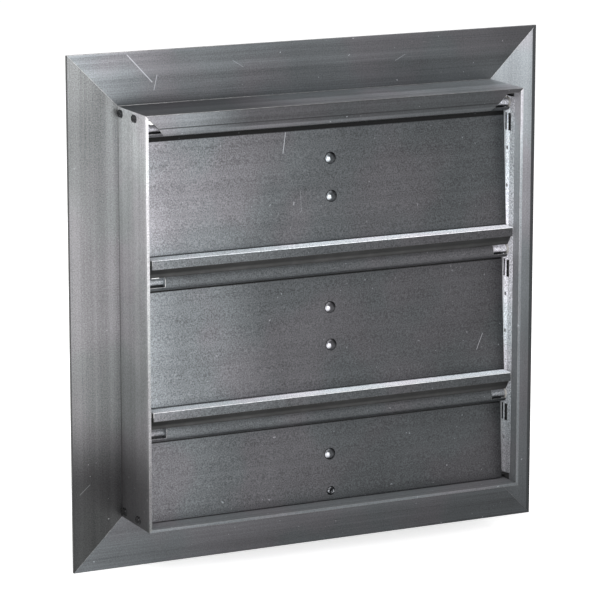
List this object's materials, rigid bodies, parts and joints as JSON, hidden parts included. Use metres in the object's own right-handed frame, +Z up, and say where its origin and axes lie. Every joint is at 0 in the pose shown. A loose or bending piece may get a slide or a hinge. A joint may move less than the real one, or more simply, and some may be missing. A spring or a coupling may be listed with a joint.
{
  "type": "gravity backdraft damper",
  "caption": "Square flanged gravity backdraft damper with linked hinged blades in a mitred aluminium frame.",
  "frame": {"origin": "centre of the closed damper, on the duct's centre line halfway between the front edge and the back of the flange", "axes": "+X along the blades to the right seen from the discharge side, +Y from the discharge side to the flange, +Z up"},
  "size_m": [0.3746, 0.052, 0.3746],
  "materials": {
    "frame_aluminium": "mill finish extrusion, fine lengthwise grain",
    "blade_aluminium": "mill finish sheet, faintly mottled",
    "linkage_aluminium": "mill finish",
    "strip_metal": "bright rolled strip",
    "screw_steel": "zinc plated",
    "pin_steel": "turned",
    "rivet_metal": "drawn",
    "bushing_nylon": "moulded",
    "seal_rubber": "extruded vinyl"
  },
  "bodies": {
    "frame": {"head_frame": "frame_aluminium", "sill_frame": "frame_aluminium", "left_jamb": "frame_aluminium", "right_jamb": "frame_aluminium", "corner_screws": "screw_steel", "left_pivot_strip": "strip_metal", "right_pivot_strip": "strip_metal", "strip_rivets": "rivet_metal", "left_bushings": "bushing_nylon", "right_bushings": "bushing_nylon", "sill_stop": "frame_aluminium", "stop_rivets": "rivet_metal"},
    "blade_top": {"top_blade": "blade_aluminium", "top_blade_pins": "pin_steel", "top_blade_bracket": "linkage_aluminium", "top_blade_rivets": "rivet_metal", "top_link_pin": "pin_steel", "top_link_clip": "pin_steel", "top_blade_seal": "seal_rubber"},
    "blade_middle": {"middle_blade": "blade_aluminium", "middle_blade_pins": "pin_steel", "middle_blade_bracket": "linkage_aluminium", "middle_blade_rivets": "rivet_metal", "middle_link_pin": "pin_steel", "middle_link_clip": "pin_steel", "middle_blade_seal": "seal_rubber"},
    "blade_bottom": {"bottom_blade": "blade_aluminium", "bottom_blade_pins": "pin_steel", "bottom_blade_bracket": "linkage_aluminium", "bottom_blade_rivets": "rivet_metal", "bottom_link_pin": "pin_steel", "bottom_link_clip": "pin_steel"},
    "tie_bar": {"tie_bar": "linkage_aluminium"}
  },
  "joints": [
    {"name": "top_blade_hinge", "type": "hinge", "parent": "frame", "child": "blade_top", "pos_m": [0, -0.0096, 0.13723], "axis": [-1, 0, 0], "range_deg": [0, 70]},
    {"name": "middle_blade_hinge", "type": "hinge", "parent": "frame", "child": "blade_middle", "pos_m": [0, -0.0096, 0.028], "axis": [-1, 0, 0], "range_deg": [0, 70]},
    {"name": "bottom_blade_hinge", "type": "hinge", "parent": "frame", "child": "blade_bottom", "pos_m": [0, -0.0096, -0.08123], "axis": [-1, 0, 0], "range_deg": [0, 70]},
    {"name": "tie_bar_hinge", "type": "hinge", "parent": "blade_top", "child": "tie_bar", "pos_m": [0.011, 0.0084, 0.14122], "axis": [-1, 0, 0], "range_deg": [-70, 0]}
  ],
  "couplings": [
    {"joint": "middle_blade_hinge", "follows": "top_blade_hinge", "ratio": 1},
    {"joint": "bottom_blade_hinge", "follows": "top_blade_hinge", "ratio": 1},
    {"joint": "tie_bar_hinge", "follows": "top_blade_hinge", "ratio": -1}
  ]
}
